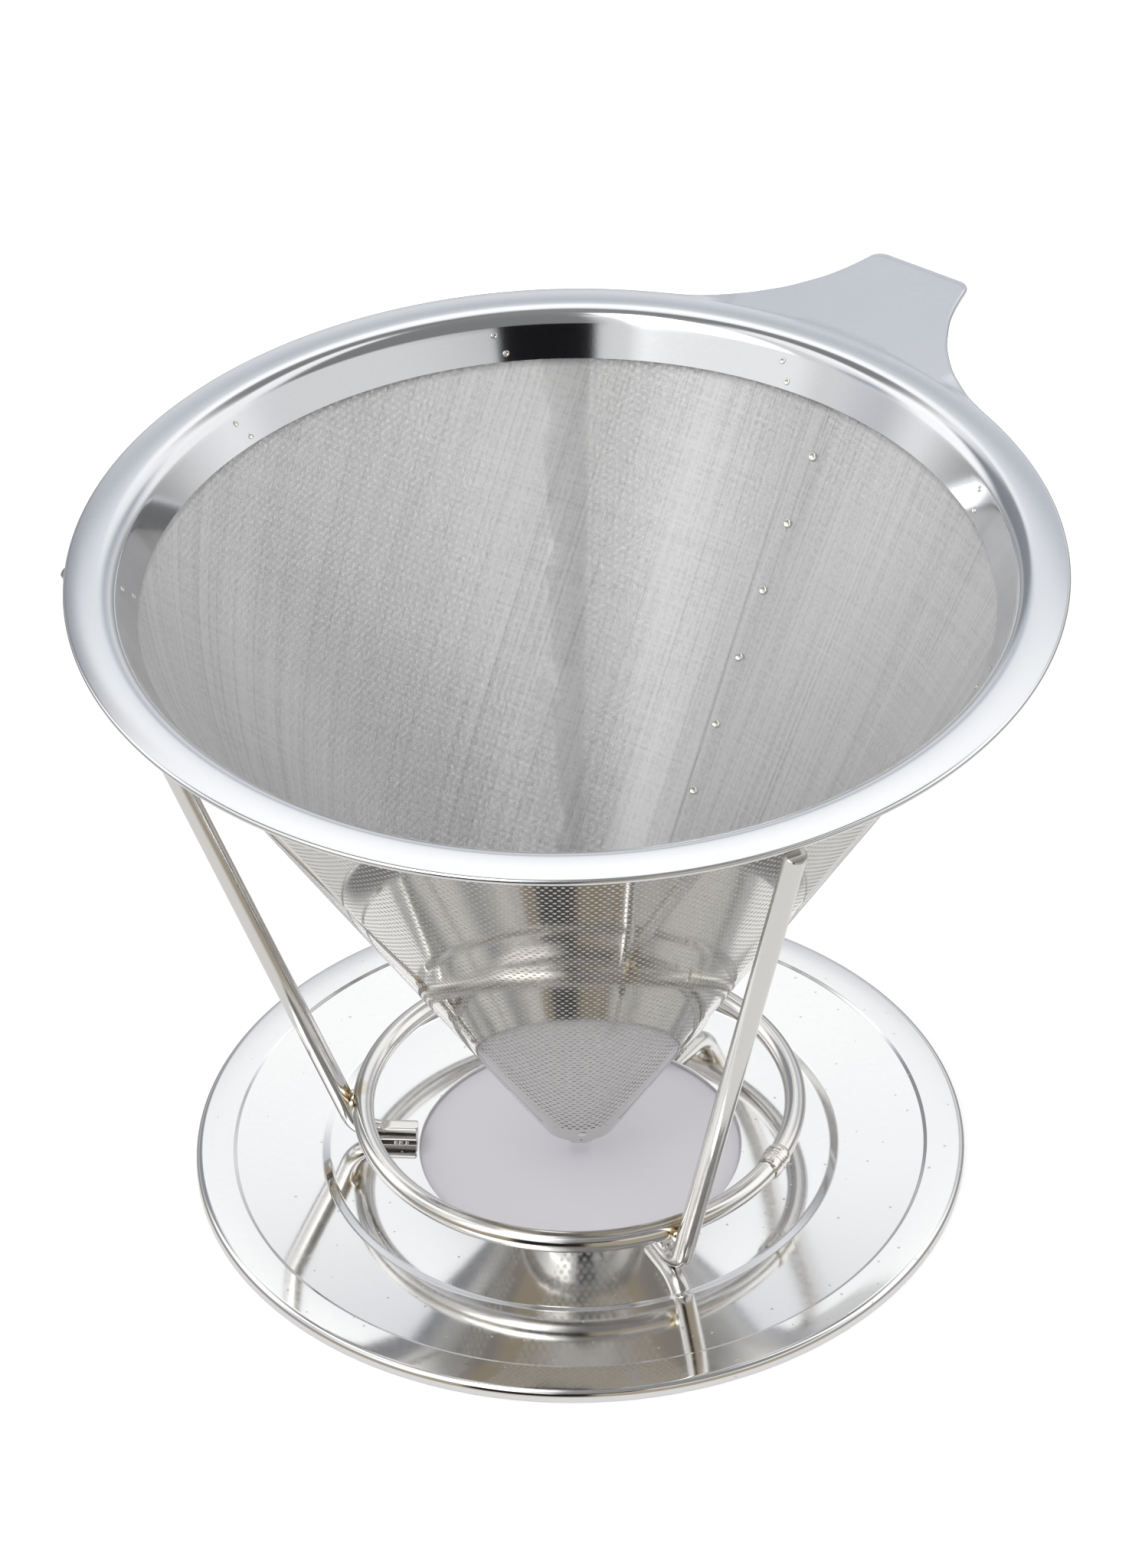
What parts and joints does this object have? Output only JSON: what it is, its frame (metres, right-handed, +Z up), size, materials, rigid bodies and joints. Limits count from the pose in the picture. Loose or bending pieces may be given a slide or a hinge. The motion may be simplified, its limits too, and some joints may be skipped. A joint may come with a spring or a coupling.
{
  "type": "pour over dripper",
  "caption": "Cone-shaped metal coffee filter with a flanged rim and a flat handle tab, hung in a wire-legged stand on a round pressed base with a drip hole.",
  "frame": {"origin": "centre of the drip hole, in the plane of the base plate's underside", "axes": "+Z up along the axis of the cone and the base; +X to the right of the front view and -Y to the front; the handle points between +X and +Y"},
  "size_m": [0.1256, 0.1317, 0.0936],
  "materials": {
    "satin_steel": "fine satin",
    "woven_mesh": "fine plain weave",
    "perforated_steel": "bright sheet with small staggered round holes",
    "polished_steel": "bright polished",
    "wire_steel": "polished drawn wire",
    "weld": "cooled weld metal with a light heat tint"
  },
  "bodies": {
    "stand": {"base_plate": "polished_steel", "leg_left": "wire_steel", "leg_front": "wire_steel", "leg_back": "wire_steel", "lower_ring": "wire_steel", "ring_butt_weld": "weld", "leg_ring_welds": "weld", "foot_welds": "weld"},
    "filter": {"rim": "satin_steel", "rim_spot_welds": "weld", "mesh_cone": "woven_mesh", "mesh_seam_welds": "weld", "outer_panel_front": "perforated_steel", "outer_panel_right": "perforated_steel", "outer_panel_left": "perforated_steel", "tip_cap": "polished_steel", "tip_spot_welds": "weld"}
  },
  "joints": [
    {"name": "filter_lift", "type": "slide", "parent": "stand", "child": "filter", "axis": [0, 0, 1], "range_m": [0, 0.1]}
  ]
}
